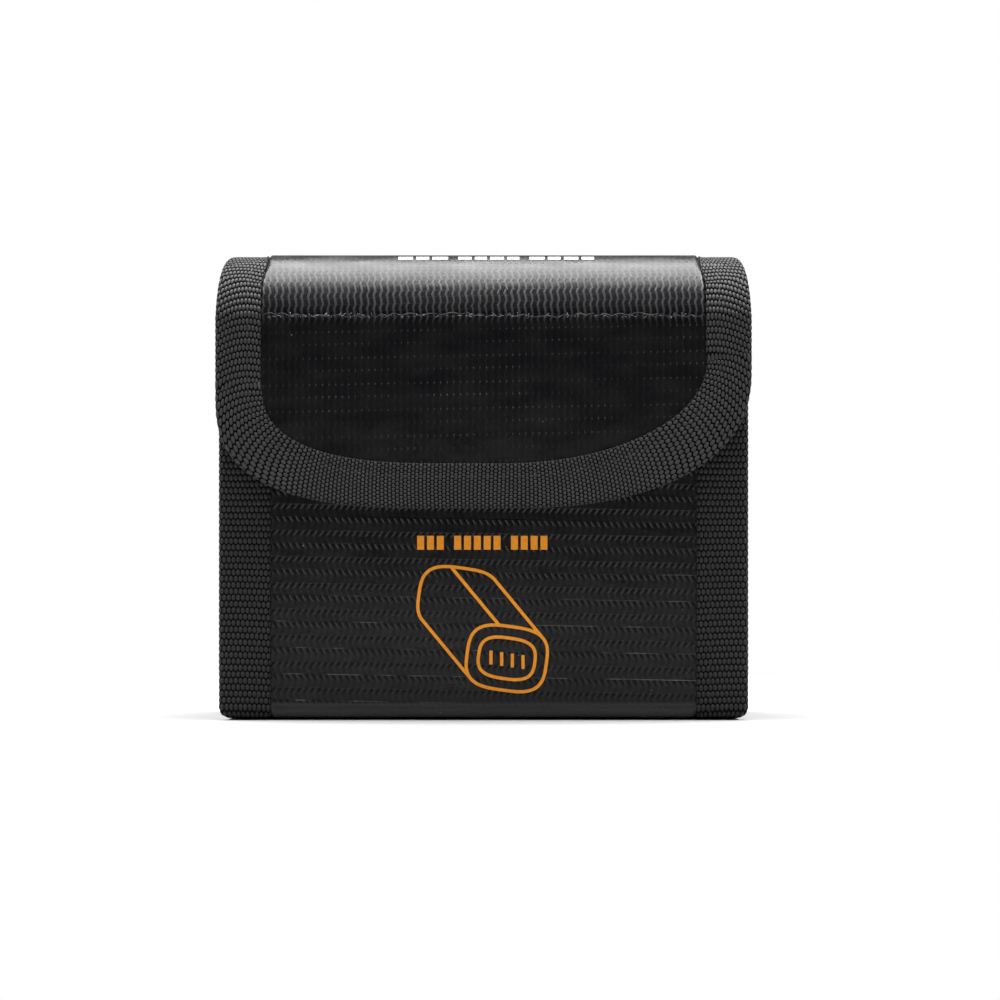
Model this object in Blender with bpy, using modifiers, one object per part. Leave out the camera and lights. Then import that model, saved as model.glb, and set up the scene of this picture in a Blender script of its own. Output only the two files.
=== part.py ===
"""A fire-resistant pouch for small battery packs, sewn from coated cloth and edged with woven binding tape.

One strip of cloth makes the front, base, back, top and flap. A gusset closes each side, set in behind a bound flange.
The flap bends at two folds: over the back edge of the top, and over its front edge.
+X is to the right seen from the front, +Y to the back, +Z up. The origin is under the middle of the bag.
All lengths are in metres. A path is a list of (y, z, angle): a point on the outside of the strip, and the
direction that the strip faces there, in degrees from +Y towards +Z.
"""

import math

import bmesh
import bpy
from mathutils import Vector

# Driving dimensions
BAG_HEIGHT = 0.100
BAG_DEPTH = 0.058
BODY_HALF_WIDTH = 0.0569
FLAP_HALF_WIDTH = 0.0575
TOP_HALF_WIDTH = 0.0540
BASE_HALF_WIDTH = 0.0553
MOUTH_HEIGHT = 0.089

# Sheet thicknesses
CLOTH = 0.0008
LINING = 0.0010
FLAP_LINING = 0.0007
TAPE = 0.0007
HOOK_AND_LOOP = 0.0008
GAP = 0.0002

# How far each tape reaches in from the edge that it binds
BODY_TAPE_WIDTH = 0.0110
BODY_TAPE_INNER = 0.0072
FLAP_TAPE_WIDTH = 0.0096
HEM_WIDTH = 0.0080

# Bends of the strip, measured on its outside
BOTTOM_RADIUS = 0.005
BACK_RADIUS = 0.010
FRONT_RADIUS = 0.012
ARC_STEPS = 8
MITRE_GAP_DEG = 0.9

# Where the strip's outside lies: the tape stands proud of it all round
PROUD = GAP + TAPE
BASE_Z = PROUD
TOP_Z = BAG_HEIGHT - PROUD
BACK_Y = BAG_DEPTH / 2 - PROUD
FLAP_Y = -BAG_DEPTH / 2 + PROUD
FLAP_STACK = CLOTH + GAP + FLAP_LINING + GAP + TAPE
FRONT_Y = FLAP_Y + FLAP_STACK + GAP + 0.0001 + PROUD

# The gussets stand inside the flanges
GUSSET_X = 0.0477
SEWN_STACK = CLOTH + GAP + CLOTH + GAP + TAPE

# The flap's lower edge, a quarter of a superellipse at each side: (centre x, side length, centre z, depth, power).
# The second set is the inner edge of its tape. The sewn edge hangs a little lower on the left.
FLAP_EDGE = {
    -1: ((-0.010, 0.0475, 0.070, 0.0246, 2.80), (-0.010, 0.0377, 0.072, 0.0171, 2.60)),
    1: ((0.005, 0.0525, 0.075, 0.0296, 2.35), (0.005, 0.0431, 0.077, 0.0221, 2.00)),
}
EDGE_STEPS = 14

# Hook and loop closure
CLOSURE_WIDTH = 0.066
CLOSURE_HEIGHT = 0.016
CLOSURE_Z = 0.073

# Colours as linear red, green and blue
COATED_BLACK = (0.011, 0.011, 0.013, 1.0)
TAPE_BLACK = (0.020, 0.020, 0.021, 1.0)
GLASS_CLOTH = (0.55, 0.55, 0.52, 1.0)
CLOSURE_BLACK = (0.008, 0.008, 0.008, 1.0)


def clear_scene():
    for obj in list(bpy.data.objects):
        bpy.data.objects.remove(obj, do_unlink=True)


def material(name, colour, roughness):
    made = bpy.data.materials.new(name)
    made.use_nodes = True
    shader = made.node_tree.nodes["Principled BSDF"]
    shader.inputs["Base Color"].default_value = colour
    shader.inputs["Roughness"].default_value = roughness
    shader.inputs["Metallic"].default_value = 0.0
    made.diffuse_color = colour
    return made


def arc(centre_y, centre_z, radius, begin, end, steps=ARC_STEPS):
    """A round stretch of a path, whose facing direction turns from begin to end degrees."""
    turned = []
    for i in range(steps + 1):
        angle = begin + (end - begin) * i / steps
        y = centre_y + radius * math.cos(math.radians(angle))
        z = centre_z + radius * math.sin(math.radians(angle))
        turned.append((y, z, angle))
    return turned


def moved(station, depth):
    """The point that lies depth behind a station of a path."""
    y, z, angle = station
    return y - depth * math.cos(math.radians(angle)), z - depth * math.sin(math.radians(angle))


def half_width(angle, upright, flat):
    """The strip narrows where it turns from upright to flat."""
    return flat + (upright - flat) * abs(math.cos(math.radians(angle)))


# The strip's path in three stretches, parted at the middle of each fold of the flap
BACK_FOLD = (BACK_Y - BACK_RADIUS, TOP_Z - BACK_RADIUS, BACK_RADIUS)
FRONT_FOLD = (FLAP_Y + FRONT_RADIUS, TOP_Z - FRONT_RADIUS, FRONT_RADIUS)
BODY_PATH = (
    [(FRONT_Y, MOUTH_HEIGHT - PROUD, 180)]
    + arc(FRONT_Y + BOTTOM_RADIUS, BASE_Z + BOTTOM_RADIUS, BOTTOM_RADIUS, 180, 270)
    + arc(BACK_Y - BOTTOM_RADIUS, BASE_Z + BOTTOM_RADIUS, BOTTOM_RADIUS, 270, 360)
    + arc(*BACK_FOLD, 0, 45 - MITRE_GAP_DEG, ARC_STEPS // 2)
)
TOP_PATH = arc(*BACK_FOLD, 45 + MITRE_GAP_DEG, 90, ARC_STEPS // 2) + arc(
    *FRONT_FOLD, 90, 135 - MITRE_GAP_DEG, ARC_STEPS // 2
)
FLAP_FOLD_PATH = arc(*FRONT_FOLD, 135 + MITRE_GAP_DEG, 180, ARC_STEPS // 2)


def body_half(station):
    """Half the bag's width at a station, from base to top of the back."""
    upper = station[1] > BAG_HEIGHT / 2
    flat = TOP_HALF_WIDTH if upper else BASE_HALF_WIDTH
    return half_width(station[2], BODY_HALF_WIDTH, flat)


def top_half(station):
    """Half the width along the top, from the back fold to the front fold."""
    upright = BODY_HALF_WIDTH if station[2] < 90 else FLAP_HALF_WIDTH
    return half_width(station[2], upright, TOP_HALF_WIDTH)


def flap_half(station):
    return half_width(station[2], FLAP_HALF_WIDTH, TOP_HALF_WIDTH)


def finish(obj, collection, surface):
    obj.data.materials.append(surface)
    collection.objects.link(obj)
    obj.data.shade_smooth()
    obj.data.set_sharp_from_angle(angle=math.radians(35))
    return obj


def sheet(name, rows, thickness, collection, surface):
    """A solid sheet. Rows of points give its outside, and its thickness lies behind them."""
    bm = bmesh.new()
    columns = len(rows[0])
    bmesh.ops.create_grid(bm, x_segments=columns - 1, y_segments=len(rows) - 1, size=1.0)
    bm.verts.ensure_lookup_table()
    flat = [point for row in rows for point in row]
    for vert, point in zip(bm.verts, flat):
        vert.co = point
    mesh = bpy.data.meshes.new(name)
    bm.to_mesh(mesh)
    bm.free()
    obj = bpy.data.objects.new(name, mesh)
    finish(obj, collection, surface)
    solid = obj.modifiers.new("Thickness", "SOLIDIFY")
    solid.thickness = thickness
    solid.offset = -1
    solid.use_even_offset = True
    return obj


def strip(name, path, half, depth, thickness, collection, surface):
    """A stretch of cloth as wide as half says on each side, lying depth behind the path."""
    rows = []
    for station in path:
        y, z = moved(station, depth)
        x = half(station)
        rows.append([Vector((x, y, z)), Vector((0, y, z)), Vector((-x, y, z))])
    return sheet(name, rows, thickness, collection, surface)


def binding(name, stations, stack, inner_share, collection, surface):
    """A tape folded over an edge. Each station is (edge point, point that the outer leg reaches, direction faced).

    Stack is the depth from the cloth's outside to the inner leg's outside, and inner_share the inner leg's reach.
    """
    lip = 0.0005
    rows = []
    for edge, reach, facing in stations:
        inward = reach - edge
        bend = lip / inward.length
        profile = (
            (1.0, PROUD),
            (bend, PROUD),
            (0.0, PROUD - lip),
            (0.0, lip - stack),
            (bend, -stack),
            (inner_share, -stack),
        )
        rows.append([edge + inward * share + facing * height for share, height in profile])
    return sheet(name, rows, TAPE, collection, surface)


def facing_of(angle):
    return Vector((0, math.cos(math.radians(angle)), math.sin(math.radians(angle))))


def side_stations(path, half, reach_x, side):
    """Stations for a tape along one side edge of the strip."""
    stations = []
    for station in path:
        y, z, angle = station
        edge = Vector((side * half(station), y, z))
        stations.append((edge, Vector((side * reach_x, y, z)), facing_of(angle)))
    return stations if side < 0 else stations[::-1]


def superellipse(side, inner, turn):
    """A point on the flap's lower edge: turn is 0 at the side and 90 degrees at the bottom."""
    centre_x, long, centre_z, deep, power = FLAP_EDGE[side][inner]
    across = math.cos(math.radians(turn)) ** (2 / power)
    down = math.sin(math.radians(turn)) ** (2 / power)
    return Vector((centre_x + side * long * across, FLAP_Y, centre_z - deep * down))


def flap_stations():
    """Stations for the tape round the flap: down the left side, along the lower edge and up the right."""
    sides = {}
    for side in (-1, 1):
        fold = []
        for station in FLAP_FOLD_PATH:
            y, z, angle = station
            reach_x = flap_half(station) - FLAP_TAPE_WIDTH
            fold.append((Vector((side * flap_half(station), y, z)), Vector((side * reach_x, y, z)), facing_of(angle)))
        for i in range(EDGE_STEPS + 1):
            turn = 90 * i / EDGE_STEPS
            fold.append((superellipse(side, 0, turn), superellipse(side, 1, turn), facing_of(180)))
        sides[side] = fold
    return sides[-1] + sides[1][::-1]


def flap_bottom(x, inset):
    """The height of the flap's lower edge at x, drawn in by inset all round."""
    for side in (-1, 1):
        centre_x, long, centre_z, deep, power = FLAP_EDGE[side][0]
        along = side * (x - centre_x) / (long - inset)
        if along > 0:
            return centre_z - (deep - inset) * max(0.0, 1 - along**power) ** (1 / power)
    return FLAP_EDGE[-1][0][2] - FLAP_EDGE[-1][0][3] + inset


def flap_cloth(name, depth, thickness, collection, surface):
    """A layer of the flap in front: round the fold and down to the curved lower edge."""
    inset = PROUD
    columns = 2 * EDGE_STEPS
    shares = [math.sin(math.pi / 2 * (1 - 2 * i / columns)) for i in range(columns + 1)]
    rows = []
    for station in FLAP_FOLD_PATH:
        y, z = moved(station, depth)
        rows.append([Vector((share * (flap_half(station) - inset), y, z)) for share in shares])
    y, fold_z = moved(FLAP_FOLD_PATH[-1], depth)
    for down in (0.5, 1.0):
        row = []
        for share in shares:
            x = share * (FLAP_HALF_WIDTH - inset)
            row.append(Vector((x, y, fold_z + (flap_bottom(x, inset) - fold_z) * down)))
        rows.append(row)
    return sheet(name, rows, thickness, collection, surface)


def gusset(name, side, collection, surface):
    """A side panel with a flange turned outward along its front, base and back edges, like a pan on its side."""
    stations = [s for s in BODY_PATH if s[1] < BAG_HEIGHT / 2]
    stations = [BODY_PATH[0]] + stations + [(BACK_Y, MOUTH_HEIGHT - PROUD, 360)]
    outline = [moved(station, CLOTH + GAP) for station in stations]
    bm = bmesh.new()
    verts = [bm.verts.new((side * GUSSET_X, y, z)) for y, z in outline]
    panel = bm.faces.new(verts if side < 0 else verts[::-1])
    rim = [edge for edge in bm.edges if not edge_joins(edge, verts[0], verts[-1])]
    flange = bmesh.ops.extrude_edge_only(bm, edges=rim)["geom"]
    outer = [item for item in flange if isinstance(item, bmesh.types.BMVert)]
    for vert in outer:
        near = min(stations, key=lambda s: (Vector(moved(s, CLOTH + GAP)) - vert.co.yz).length)
        vert.co.x = side * (body_half(near) - PROUD)
    bmesh.ops.recalc_face_normals(bm, faces=bm.faces)
    if panel.normal.x * side > 0:
        bmesh.ops.reverse_faces(bm, faces=bm.faces)
    mesh = bpy.data.meshes.new(name)
    bm.to_mesh(mesh)
    bm.free()
    obj = finish(bpy.data.objects.new(name, mesh), collection, surface)
    solid = obj.modifiers.new("Thickness", "SOLIDIFY")
    solid.thickness = CLOTH
    solid.offset = -1
    solid.use_even_offset = True
    return obj


def edge_joins(edge, first, last):
    return first in edge.verts and last in edge.verts


def gusset_lining(name, side, collection, surface):
    """The flat lining panel inside a gusset, standing within the lining of the front, base and back."""
    depth = CLOTH + GAP + LINING + GAP
    stations = [s for s in BODY_PATH if s[1] < BAG_HEIGHT / 2]
    stations = [BODY_PATH[0]] + stations + [(BACK_Y, MOUTH_HEIGHT - PROUD, 360)]
    outline = bpy.data.curves.new(name, "CURVE")
    outline.dimensions = "2D"
    outline.fill_mode = "BOTH"
    outline.extrude = LINING / 2
    spline = outline.splines.new("POLY")
    spline.points.add(len(stations) - 1)
    for point, station in zip(spline.points, stations):
        y, z = moved(station, depth)
        point.co = (y, z, 0, 1)
    spline.use_cyclic_u = True
    outline.materials.append(surface)
    obj = bpy.data.objects.new(name, outline)
    obj.rotation_euler = (math.pi / 2, 0, math.pi / 2)
    obj.location.x = side * (GUSSET_X - GAP - LINING / 2)
    collection.objects.link(obj)
    return obj


def hem(name, edge_stations, stack, collection, surface):
    """A short tape folded over the mouth's edge."""
    return binding(name, edge_stations, stack, 1.0, collection, surface)


def front_hem_stations():
    half = BODY_HALF_WIDTH - BODY_TAPE_WIDTH - GAP
    top = MOUTH_HEIGHT
    return [
        (Vector((x, FRONT_Y, top)), Vector((x, FRONT_Y, top - HEM_WIDTH)), facing_of(180))
        for x in (half, 0, -half)
    ]


def gusset_hem_stations(side):
    x = side * (GUSSET_X + CLOTH)
    top = MOUTH_HEIGHT
    front = FRONT_Y + CLOTH + GAP + LINING + PROUD + GAP
    back = BACK_Y - SEWN_STACK - 2 * GAP
    ends = (front, back) if side < 0 else (back, front)
    return [(Vector((x, y, top)), Vector((x, y, top - HEM_WIDTH)), Vector((side, 0, 0))) for y in ends]


def closure(name, y, collection, surface):
    """One half of the hook and loop closure, a flat patch."""
    bpy.ops.mesh.primitive_cube_add(size=1.0, location=(0, y, CLOSURE_Z))
    obj = bpy.context.object
    obj.name = name
    obj.data.name = name
    obj.scale = (CLOSURE_WIDTH, HOOK_AND_LOOP, CLOSURE_HEIGHT)
    bpy.ops.object.transform_apply(location=False, rotation=False, scale=True)
    obj.data.materials.append(surface)
    for owner in list(obj.users_collection):
        owner.objects.unlink(obj)
    collection.objects.link(obj)
    rounding = obj.modifiers.new("Corners", "BEVEL")
    rounding.width = 0.0002
    rounding.segments = 2
    return obj


def attach(objects, pivot_name, pivot, parent, collection):
    """Parents objects to an empty on a fold's axis, keeping them where they are."""
    empty = bpy.data.objects.new(pivot_name, None)
    empty.location = pivot
    collection.objects.link(empty)
    if parent:
        empty.parent = parent
        empty.location = Vector(pivot) - parent.matrix_world.translation
    bpy.context.view_layer.update()
    for obj in objects:
        obj.parent = empty
        obj.matrix_parent_inverse = empty.matrix_world.inverted()
    return empty


def fold_axis(fold, towards_back):
    """The line that a fold turns about, placed so that the cloth over the fold keeps its length."""
    centre_y, centre_z, radius = fold
    reach = radius * math.pi / 4
    return (0, centre_y + reach * towards_back, centre_z + reach)


def build():
    clear_scene()
    bag = bpy.data.collections.new("battery_pouch")
    bpy.context.scene.collection.children.link(bag)
    coated = material("coated_cloth", COATED_BLACK, 0.35)
    tape = material("binding_tape", TAPE_BLACK, 0.75)
    glass = material("glass_cloth", GLASS_CLOTH, 0.8)
    fastener = material("hook_and_loop", CLOSURE_BLACK, 0.9)

    def bound(half):
        return lambda station: half(station) - PROUD

    def inside_gussets(station):
        return GUSSET_X - GAP

    # The body
    strip("shell_wrap", BODY_PATH, bound(body_half), 0, CLOTH, bag, coated)
    strip("lining_wrap", BODY_PATH, inside_gussets, CLOTH + GAP, LINING, bag, glass)
    reach = BODY_HALF_WIDTH - BODY_TAPE_WIDTH
    inner_share = BODY_TAPE_INNER / BODY_TAPE_WIDTH
    for side, word in ((-1, "left"), (1, "right")):
        gusset(f"gusset_{word}", side, bag, coated)
        gusset_lining(f"gusset_lining_{word}", side, bag, glass)
        stations = side_stations(BODY_PATH, body_half, reach, side)
        binding(f"side_binding_{word}", stations, SEWN_STACK + GAP, inner_share, bag, tape)
        hem(f"gusset_hem_{word}", gusset_hem_stations(side), CLOTH + GAP + LINING + PROUD, bag, tape)
    hem("front_hem", front_hem_stations(), CLOTH + GAP + LINING + PROUD, bag, tape)
    hook_y = FRONT_Y - GAP - HOOK_AND_LOOP / 2
    closure("hook_strip", hook_y, bag, fastener)

    # The top of the flap
    top = [
        strip("flap_top_cloth", TOP_PATH, bound(top_half), 0, CLOTH, bag, coated),
        strip("flap_top_lining", TOP_PATH, bound(top_half), CLOTH + GAP, FLAP_LINING, bag, glass),
    ]
    top_reach = TOP_HALF_WIDTH - FLAP_TAPE_WIDTH + 0.0016
    for side, word in ((-1, "left"), (1, "right")):
        stations = side_stations(TOP_PATH, top_half, top_reach, side)
        top.append(binding(f"top_binding_{word}", stations, FLAP_STACK, 0.9, bag, tape))

    # The front of the flap
    front = [
        flap_cloth("flap_front_cloth", 0, CLOTH, bag, coated),
        flap_cloth("flap_front_lining", CLOTH + GAP, FLAP_LINING, bag, glass),
        binding("flap_binding", flap_stations(), FLAP_STACK, 0.9, bag, tape),
        closure("loop_strip", FLAP_Y + CLOTH + GAP + FLAP_LINING + GAP + HOOK_AND_LOOP / 2, bag, fastener),
    ]

    back_axis = attach(top, "back_fold_axis", fold_axis(BACK_FOLD, 1), None, bag)
    attach(front, "front_fold_axis", fold_axis(FRONT_FOLD, -1), back_axis, bag)


build()
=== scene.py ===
"""The looks of the battery pouch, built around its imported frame.

The bag's cloth is one long strip, so most pieces are drawn on the strip's flat pattern and then laid along
its path in the bag's side view. A point of the pattern is (x, s): x across the bag, and s the distance along
the strip, from the mouth down the front wall, under the base, up the back, over the top and down the flap.
All lengths are in metres, except in the materials, which work in millimetres.
"""

import math

import bpy
import numpy as np
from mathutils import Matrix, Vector


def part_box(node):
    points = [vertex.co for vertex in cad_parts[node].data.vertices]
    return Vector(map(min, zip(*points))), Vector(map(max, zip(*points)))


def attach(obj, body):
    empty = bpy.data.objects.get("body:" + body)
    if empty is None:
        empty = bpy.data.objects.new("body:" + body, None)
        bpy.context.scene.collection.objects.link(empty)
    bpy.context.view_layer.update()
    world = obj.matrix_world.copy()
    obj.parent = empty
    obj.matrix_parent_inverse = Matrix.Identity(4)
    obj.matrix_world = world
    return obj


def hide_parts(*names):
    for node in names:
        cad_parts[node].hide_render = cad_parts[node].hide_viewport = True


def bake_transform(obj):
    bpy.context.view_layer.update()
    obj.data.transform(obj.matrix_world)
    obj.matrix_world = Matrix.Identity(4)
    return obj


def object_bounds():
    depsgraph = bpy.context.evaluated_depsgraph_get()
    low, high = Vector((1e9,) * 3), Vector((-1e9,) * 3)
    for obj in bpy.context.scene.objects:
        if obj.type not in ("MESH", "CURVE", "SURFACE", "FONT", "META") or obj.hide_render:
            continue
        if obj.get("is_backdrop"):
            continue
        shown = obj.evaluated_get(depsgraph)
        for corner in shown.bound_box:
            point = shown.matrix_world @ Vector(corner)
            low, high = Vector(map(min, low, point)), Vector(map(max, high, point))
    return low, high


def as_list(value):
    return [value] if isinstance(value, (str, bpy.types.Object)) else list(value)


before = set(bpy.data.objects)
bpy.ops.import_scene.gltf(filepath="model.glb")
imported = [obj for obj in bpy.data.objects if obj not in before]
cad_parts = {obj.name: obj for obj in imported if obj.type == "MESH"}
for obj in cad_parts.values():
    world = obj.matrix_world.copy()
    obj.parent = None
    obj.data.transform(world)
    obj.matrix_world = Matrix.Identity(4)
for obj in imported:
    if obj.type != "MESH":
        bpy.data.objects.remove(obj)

MM = 0.001
CAD_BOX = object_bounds()

# The strip's path: its planes from the frame, which has the tape standing off the cloth, and its bends
LOW, HIGH = CAD_BOX
TAPE_RISE = 0.9 * MM
FLAP_Y = LOW.y + TAPE_RISE
BACK_Y = HIGH.y - TAPE_RISE
BASE_Z = LOW.z + TAPE_RISE
TOP_Z = HIGH.z - TAPE_RISE
FRONT_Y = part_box("shell_wrap")[0].y
MOUTH_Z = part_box("front_hem")[1].z - TAPE_RISE
BOTTOM_RADIUS = 1.5 * MM
BACK_RADIUS = 10 * MM
ROLL_RADIUS = 16 * MM
CREASE_ANGLE = 14
PATH_END_Z = 40 * MM

# Half widths of the strip, where it stands upright and where it lies flat
BODY_HALF = 56.9 * MM
FLAP_HALF = 57.5 * MM
TOP_HALF = 54.0 * MM
BASE_HALF = 55.3 * MM

# Each side of the flap's lower edge, in millimetres, as a quarter of a superellipse: (centre x, half length,
# centre z, depth, power), first for the bound edge and then for its tape's inner edge
BOUND, INNER = 0, 1
FLAP_EDGE = {
    -1: ((-10.0, 47.5, 70.0, 24.6, 2.80), (-10.0, 37.7, 72.0, 17.1, 2.60)),
    1: ((5.0, 52.5, 75.0, 29.6, 2.35), (5.0, 43.1, 77.0, 22.1, 2.00)),
}

# How far the sewn cloth stands off that path at most, and how far a gusset is drawn in
FRONT_BELLY = 0.5 * MM
BACK_BELLY = 0.9 * MM
FLAP_BELLY = 0.35 * MM
TOP_CROWN = 1.2 * MM
BASE_CROWN = 0.75 * MM
GUSSET_FOLD = 3.2 * MM
GUSSET_RIPPLE = 0.25 * MM

# Layers. A skin and the lining are heights above the cloth's outside, a stack is how far under it a tape's
# inner leg lies, and the inset is how far inside the tape the cloth ends.
TAPE_SKIN = 0.70 * MM
BODY_STACK = 2.8 * MM
FLAP_STACK = 2.4 * MM
HEM_STACK = 2.6 * MM
LEG_THICKNESS = 0.6 * MM
LINING_HEIGHT = -1.7 * MM
EDGE_INSET = 4.0 * MM

# Tapes: the widths of their legs, their weave and their stitching
BODY_TAPE = 11.0 * MM
BODY_TAPE_INNER = 7.2 * MM
FLAP_TAPE_INNER = 8.6 * MM
HEM_TAPE = 8.0 * MM
HEM_HALF = 45.4 * MM
RIB_PITCH = 1.38 * MM
BEAD_PITCH = 1.0 * MM
RIB_HEIGHT = 0.16 * MM
STITCH_INSET = 2.8 * MM
STITCH_PITCH = 3.5 * MM
STITCH_HEIGHT = TAPE_SKIN + 0.04 * MM
STITCH_DENT = 0.12 * MM

# The tapes' inner edges, as half widths: on the back, at the top's middle, then where the flap's tape narrows
TAPE_LINE = (45.9 * MM, 46.8 * MM, 46.9 * MM, 47.9 * MM)
TAPE_NARROWING = (TAPE_LINE[1] - TAPE_LINE[0]) / (BODY_HALF - TOP_HALF)

# Weaves, in millimetres: the coated cloth's yarns and rows, and the lining
YARN_PITCH = 1.41
ROW_PITCH = 2.83
LINING_PITCH = 0.9

# The gussets' planes, and their clearance from the walls and the base
GUSSET_X = 48.1 * MM
GUSSET_RIM = 1.9 * MM

# How far apart the meshes' points are
CLOTH_STEP = 0.5 * MM
TAPE_STEP = 0.25 * MM
FLAP_TAPE_STEP = 0.28 * MM
CLOSURE_STEP = 0.25 * MM

RANDOM = np.random.default_rng(7)


# ---------------------------------------------------------------- the strip's path


def arc(centre_y, centre_z, radius, begin, end):
    """Stations (y, z, facing) of a round stretch of a path, 3 degrees apart or less."""
    count = max(2, math.ceil(abs(end - begin) / 3) + 1)
    turned = []
    for facing in np.linspace(begin, end, count):
        turn = math.radians(facing)
        turned.append((centre_y + radius * math.cos(turn), centre_z + radius * math.sin(turn), facing))
    return turned


class Path:
    """A line in the bag's side view, with the direction that its outside faces at each distance along it."""

    def __init__(self, stations):
        """Stations are (y, z, facing), with the facing in degrees up from the back."""
        self.y, self.z, self.facing = (np.array(column, float) for column in zip(*stations))
        steps = np.hypot(np.diff(self.y), np.diff(self.z))
        self.s = np.concatenate([[0.0], np.cumsum(np.maximum(steps, 1e-7))])

    def at(self, s):
        """The y, z and facing in radians at distances along the line."""
        return tuple(np.interp(s, self.s, column) for column in (self.y, self.z, np.radians(self.facing)))

    def nearest(self, y, z):
        """The distance along the line of its nearest point to (y, z)."""
        fine = np.linspace(0, self.s[-1], 8000)
        fine_y, fine_z, _ = self.at(fine)
        return float(fine[np.argmin(np.hypot(fine_y - y, fine_z - z))])


ROLL_Y = FLAP_Y + ROLL_RADIUS * math.cos(math.radians(CREASE_ANGLE))
ROLL_Z = TOP_Z - ROLL_RADIUS
CREASE_Z = ROLL_Z + ROLL_RADIUS * math.sin(math.radians(CREASE_ANGLE))
STRIP = Path(
    [(FRONT_Y, MOUTH_Z, 180)]
    + arc(FRONT_Y + BOTTOM_RADIUS, BASE_Z + BOTTOM_RADIUS, BOTTOM_RADIUS, 180, 270)
    + arc(BACK_Y - BOTTOM_RADIUS, BASE_Z + BOTTOM_RADIUS, BOTTOM_RADIUS, 270, 360)
    + arc(BACK_Y - BACK_RADIUS, TOP_Z - BACK_RADIUS, BACK_RADIUS, 360, 450)
    + arc(ROLL_Y, ROLL_Z, ROLL_RADIUS, 450, 540 - CREASE_ANGLE)
    + [(FLAP_Y, CREASE_Z - 0.4 * MM, 540), (FLAP_Y, PATH_END_Z, 540)]
)
S_BASE = STRIP.nearest(0, BASE_Z)
S_BACK_MOUTH = STRIP.nearest(BACK_Y, MOUTH_Z)
S_TOP = STRIP.nearest(0, TOP_Z)
S_ROLL = STRIP.nearest(ROLL_Y, TOP_Z)
S_NARROW = S_ROLL + 8 * MM
S_CREASE = STRIP.nearest(FLAP_Y, CREASE_Z)
S_TAPE_LINE = (S_TOP - 20 * MM, S_TOP, S_NARROW, S_NARROW + 6 * MM)


def s_of_flap(z):
    """The distance along the strip of a height on the flap's drop."""
    return STRIP.s[-1] - (z - PATH_END_Z)


def s_of_front(z):
    """The distance along the strip of a height on the front wall."""
    return MOUTH_Z - z


def half_width(s):
    """Half the strip's width, which narrows where the strip turns flat."""
    _, z, facing = STRIP.at(s)
    upright = np.where(np.asarray(s) < S_TOP, BODY_HALF, FLAP_HALF)
    flat = np.where(z > HIGH.z / 2, TOP_HALF, BASE_HALF)
    return flat + (upright - flat) * np.abs(np.cos(facing)) ** 0.6


def swell(value, low, high):
    """0 outside the range from low to high, rising smoothly to 1 in its middle."""
    return np.sin(np.pi * np.clip((value - low) / (high - low), 0, 1)) ** 2


def softness(x, s, facing, height):
    """How far the sewn cloth stands off its drawn path: the walls belly a little and nothing is quite flat.

    Where the strip lies flat, only its outer face is crowned between the tapes, and the lining stays level.
    """
    across = np.cos(np.clip(x / BODY_HALF, -1, 1) * np.pi / 2) ** 0.8
    tape_edge = np.interp(s, S_TAPE_LINE, TAPE_LINE) + 0.3 * MM
    between_tapes = np.clip((tape_edge - np.abs(x)) / (1.2 * MM), 0, 1)
    outer = np.clip(1 + height / (1.2 * MM), 0, 1)
    level = np.sin(facing)
    crown = (TOP_CROWN * np.maximum(level, 0) + BASE_CROWN * np.maximum(-level, 0)) * between_tapes * outer
    front = FRONT_BELLY * swell(s, s_of_front(60 * MM), s_of_front(8 * MM))
    back = BACK_BELLY * swell(s, S_BASE + 22 * MM, S_TOP - 22 * MM)
    flap = FLAP_BELLY * swell(s, S_CREASE, S_CREASE + 40 * MM)
    wide_folds = 0.11 * MM * np.sin(x / (9 * MM) + s / (21 * MM))
    high_folds = 0.09 * MM * np.sin(x / (15 * MM) - s / (12 * MM) + 1.3)
    return across * (front + back + flap + (wide_folds + high_folds) * (1 - np.abs(level))) + crown


def on_strip(x, s, height):
    """Points of the strip's flat pattern laid on the bag, with a height above the cloth's outside."""
    y, z, facing = STRIP.at(s)
    lift = height + softness(x, s, facing, height)
    return np.stack(np.broadcast_arrays(x, y + lift * np.cos(facing), z + lift * np.sin(facing)), axis=-1)


# ---------------------------------------------------------------- meshes


def grid_quads(rows, columns, flip, start=0):
    """The faces of a grid of points that are counted row by row from start."""
    index = start + np.arange(rows * columns).reshape(rows, columns)
    corners = [index[:-1, :-1], index[:-1, 1:], index[1:, 1:], index[1:, :-1]]
    if flip:
        corners.reverse()
    return np.stack(corners, axis=-1).reshape(-1, 4)


def new_piece(name, points, quads, material):
    """A smooth-shaded mesh object in the scene."""
    mesh = bpy.data.meshes.new(name)
    mesh.from_pydata(points, [], quads)
    mesh.shade_smooth()
    mesh.materials.append(material)
    piece = bpy.data.objects.new(name, mesh)
    bpy.context.scene.collection.objects.link(piece)
    return piece


def grid_piece(name, points, flat, material, flip=False):
    """A piece whose mesh is a grid of points. Flat gives each point's place in the weave, in millimetres."""
    rows, columns = points.shape[:2]
    piece = new_piece(name, points.reshape(-1, 3), grid_quads(rows, columns, flip), material)
    weave = np.zeros((rows * columns, 3), np.float32)
    weave[:, :2] = flat.reshape(-1, 2)
    piece.data.attributes.new("weave", "FLOAT_VECTOR", "POINT").data.foreach_set("vector", weave.ravel())
    return piece


def joined_grids(name, grids, material, flip=False):
    """One piece made of several small grids, such as a row of stitches."""
    quads, start = [], 0
    for points in grids:
        rows, columns = points.shape[:2]
        quads.append(grid_quads(rows, columns, flip, start))
        start += rows * columns
    points = np.concatenate([grid.reshape(-1, 3) for grid in grids])
    return new_piece(name, points, np.concatenate(quads), material)


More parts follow.
